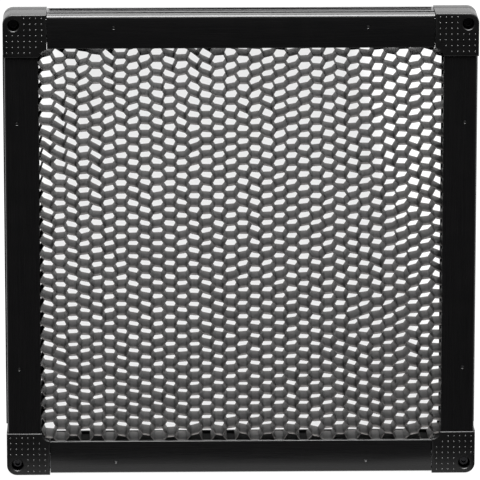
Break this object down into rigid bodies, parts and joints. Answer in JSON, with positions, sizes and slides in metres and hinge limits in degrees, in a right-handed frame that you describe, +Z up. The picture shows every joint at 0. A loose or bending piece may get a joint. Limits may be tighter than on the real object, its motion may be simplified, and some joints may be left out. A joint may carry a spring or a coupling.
{
  "type": "honeycomb light control grid",
  "caption": "Square black-framed honeycomb grid that narrows a panel light's beam, with studded corner mouldings and a captive screw in each corner.",
  "frame": {"origin": "centre of the rear seating plane, midway between the four corner screws", "axes": "+Y out of the rear, towards the light it is fastened to; +Z up; +X to the right seen from the front, which faces -Y"},
  "size_m": [0.3272, 0.032, 0.3272],
  "materials": {
    "rail_anodised": "black anodised, satin",
    "corner_plastic": "moulded, fine texture with polished studs",
    "core_foil": "dark grey coated foil with fine rolling lines",
    "key_plate": "zinc plated",
    "screw_steel": "black oxide",
    "captive_nylon": "natural nylon",
    "strip_plastic": "extruded, matt",
    "pin_steel": "blackened"
  },
  "bodies": {
    "frame": {"rail_top": "rail_anodised", "rail_right": "rail_anodised", "rail_bottom": "rail_anodised", "rail_left": "rail_anodised", "core_strip_top": "strip_plastic", "core_strip_right": "strip_plastic", "core_strip_bottom": "strip_plastic", "core_strip_left": "strip_plastic", "corner_front_tr": "corner_plastic", "corner_front_br": "corner_plastic", "corner_front_bl": "corner_plastic", "corner_front_tl": "corner_plastic", "corner_rear_tr": "corner_plastic", "corner_rear_br": "corner_plastic", "corner_rear_bl": "corner_plastic", "corner_rear_tl": "corner_plastic", "corner_key_tr": "key_plate", "corner_key_br": "key_plate", "corner_key_bl": "key_plate", "corner_key_tl": "key_plate", "shell_screw_tr_1": "screw_steel", "shell_screw_br_1": "screw_steel", "shell_screw_bl_1": "screw_steel", "shell_screw_tl_1": "screw_steel", "shell_screw_tr_2": "screw_steel", "shell_screw_br_2": "screw_steel", "shell_screw_bl_2": "screw_steel", "shell_screw_tl_2": "screw_steel", "rail_pin_top_1": "pin_steel", "rail_pin_right_1": "pin_steel", "rail_pin_bottom_1": "pin_steel", "rail_pin_left_1": "pin_steel", "rail_pin_top_2": "pin_steel", "rail_pin_right_2": "pin_steel", "rail_pin_bottom_2": "pin_steel", "rail_pin_left_2": "pin_steel", "honeycomb_core": "core_foil"},
    "washer_tr": {"captive_washer_tr": "captive_nylon"},
    "washer_br": {"captive_washer_br": "captive_nylon"},
    "washer_bl": {"captive_washer_bl": "captive_nylon"},
    "washer_tl": {"captive_washer_tl": "captive_nylon"},
    "screw_tr": {"corner_screw_tr": "screw_steel"},
    "screw_br": {"corner_screw_br": "screw_steel"},
    "screw_bl": {"corner_screw_bl": "screw_steel"},
    "screw_tl": {"corner_screw_tl": "screw_steel"}
  },
  "joints": [
    {"name": "screw_tr_travel", "type": "slide", "parent": "frame", "child": "washer_tr", "axis": [0, 1, 0], "range_m": [0, 0.007]},
    {"name": "screw_br_travel", "type": "slide", "parent": "frame", "child": "washer_br", "axis": [0, 1, 0], "range_m": [0, 0.007]},
    {"name": "screw_bl_travel", "type": "slide", "parent": "frame", "child": "washer_bl", "axis": [0, 1, 0], "range_m": [0, 0.007]},
    {"name": "screw_tl_travel", "type": "slide", "parent": "frame", "child": "washer_tl", "axis": [0, 1, 0], "range_m": [0, 0.007]},
    {"name": "screw_tr_turn", "type": "hinge", "parent": "washer_tr", "child": "screw_tr", "pos_m": [0.1556, -0.0114, 0.1556], "axis": [0, 1, 0], "range_deg": [0, 3600.1]},
    {"name": "screw_br_turn", "type": "hinge", "parent": "washer_br", "child": "screw_br", "pos_m": [0.1556, -0.0114, -0.1556], "axis": [0, 1, 0], "range_deg": [0, 3600.1]},
    {"name": "screw_bl_turn", "type": "hinge", "parent": "washer_bl", "child": "screw_bl", "pos_m": [-0.1556, -0.0114, -0.1556], "axis": [0, 1, 0], "range_deg": [0, 3600.1]},
    {"name": "screw_tl_turn", "type": "hinge", "parent": "washer_tl", "child": "screw_tl", "pos_m": [-0.1556, -0.0114, 0.1556], "axis": [0, 1, 0], "range_deg": [0, 3600.1]}
  ],
  "couplings": [
    {"joint": "screw_tr_turn", "follows": "screw_tr_travel", "rad_per_m": 8976},
    {"joint": "screw_br_turn", "follows": "screw_br_travel", "rad_per_m": 8976},
    {"joint": "screw_bl_turn", "follows": "screw_bl_travel", "rad_per_m": 8976},
    {"joint": "screw_tl_turn", "follows": "screw_tl_travel", "rad_per_m": 8976}
  ]
}
